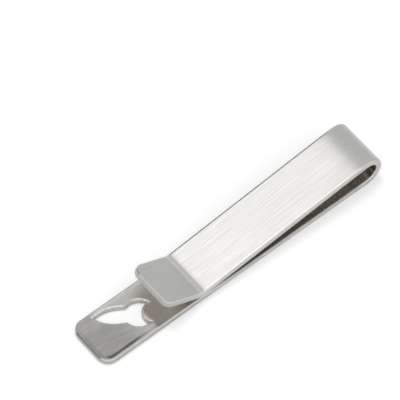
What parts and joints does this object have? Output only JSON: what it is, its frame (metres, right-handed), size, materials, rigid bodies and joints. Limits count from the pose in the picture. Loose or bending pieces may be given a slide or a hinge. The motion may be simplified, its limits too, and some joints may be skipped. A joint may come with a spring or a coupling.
{
  "type": "tie clip",
  "caption": "Slide-on tie clip: a flat steel bar with a rocket-shaped hole, folded back into a sprung arm that grips the tie and ends in a raised thumb lip.",
  "frame": {"origin": "middle of the clip's length and width, on the plane of its front face", "axes": "+X along the clip from its free end to its return fold, +Y across the strip, +Z from the front face towards the back arm"},
  "size_m": [0.0544, 0.0088, 0.0062],
  "materials": {
    "steel": "brushed along the strip, bright rounded edges"
  },
  "bodies": {
    "bar": {"front_bar": "steel", "front_bend": "steel"},
    "arm": {"spring_bend": "steel", "clip_arm": "steel", "grip_bend": "steel", "thumb_lip": "steel"}
  },
  "joints": [
    {"name": "arm_open", "type": "hinge", "parent": "bar", "child": "arm", "pos_m": [0.02423, 0, 0.00302], "axis": [0, 1, 0], "range_deg": [0, 8], "stiffness_Nm_per_rad": 6, "deforming": ["spring_bend"]}
  ]
}
